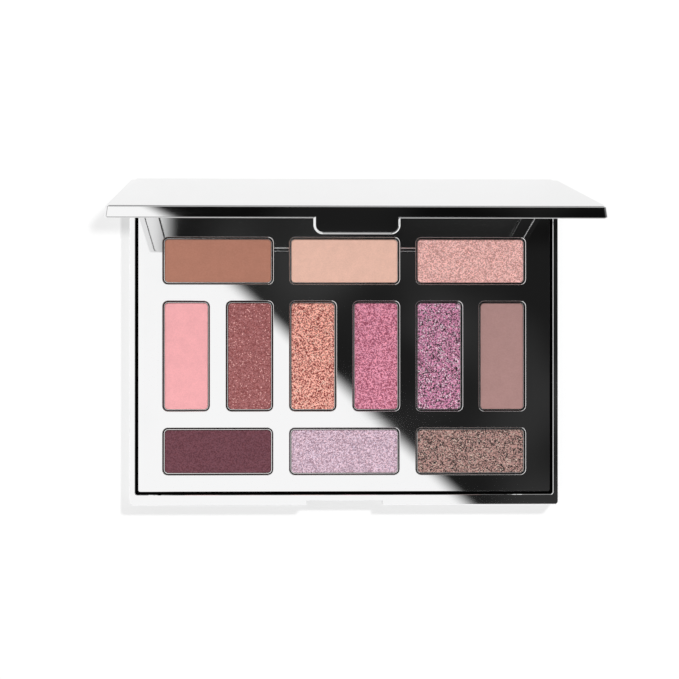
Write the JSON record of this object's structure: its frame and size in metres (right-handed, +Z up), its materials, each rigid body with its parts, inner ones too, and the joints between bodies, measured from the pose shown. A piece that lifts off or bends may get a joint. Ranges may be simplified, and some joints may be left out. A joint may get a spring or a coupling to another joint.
{
  "type": "eyeshadow palette",
  "caption": "Slim rectangular mirror-chrome compact of pressed powder shades in metal pans, with a hinged mirror lid and a front snap tab, shown with the lid standing open.",
  "frame": {"origin": "centre of the base's flat underside, on the plane it rests on", "axes": "+X along the case's long side, +Y from the latch to the hinge, +Z up out of the pans"},
  "size_m": [0.1366, 0.104, 0.1084],
  "materials": {
    "metallised_case": "polished",
    "mirror_glass": "polished",
    "pan_tinplate": "satin",
    "hinge_wire": "satin",
    "adhesive": "matte",
    "label": "matte",
    "powder_cocoa": "matte",
    "powder_peach": "matte",
    "powder_rose": "satin",
    "powder_blush": "matte",
    "powder_garnet": "satin",
    "powder_copper": "satin",
    "powder_raspberry": "satin",
    "powder_mauve": "satin",
    "powder_taupe": "matte",
    "powder_plum": "satin",
    "powder_lilac": "satin",
    "powder_bronze": "satin"
  },
  "bodies": {
    "base": {"base_case": "metallised_case", "underside_label": "label", "shade_tray": "metallised_case", "pan_cocoa": "pan_tinplate", "pan_peach": "pan_tinplate", "pan_rose": "pan_tinplate", "pan_blush": "pan_tinplate", "pan_garnet": "pan_tinplate", "pan_copper": "pan_tinplate", "pan_raspberry": "pan_tinplate", "pan_mauve": "pan_tinplate", "pan_taupe": "pan_tinplate", "pan_plum": "pan_tinplate", "pan_lilac": "pan_tinplate", "pan_bronze": "pan_tinplate", "powder_cocoa": "powder_cocoa", "powder_peach": "powder_peach", "powder_rose": "powder_rose", "powder_blush": "powder_blush", "powder_garnet": "powder_garnet", "powder_copper": "powder_copper", "powder_raspberry": "powder_raspberry", "powder_mauve": "powder_mauve", "powder_taupe": "powder_taupe", "powder_plum": "powder_plum", "powder_lilac": "powder_lilac", "powder_bronze": "powder_bronze", "glue_pad_cocoa": "adhesive", "glue_pad_peach": "adhesive", "glue_pad_rose": "adhesive", "glue_pad_blush": "adhesive", "glue_pad_garnet": "adhesive", "glue_pad_copper": "adhesive", "glue_pad_raspberry": "adhesive", "glue_pad_mauve": "adhesive", "glue_pad_taupe": "adhesive", "glue_pad_plum": "adhesive", "glue_pad_lilac": "adhesive", "glue_pad_bronze": "adhesive"},
    "lid": {"lid_shell": "metallised_case", "mirror_frame": "metallised_case", "mirror": "mirror_glass", "mirror_adhesive": "adhesive", "hinge_pin_left": "hinge_wire", "hinge_pin_right": "hinge_wire"}
  },
  "joints": [
    {"name": "lid_hinge", "type": "hinge", "parent": "base", "child": "lid", "pos_m": [0, 0.0485, 0.0095], "axis": [-1, 0, 0], "range_deg": [-81.2, 18.8]}
  ]
}
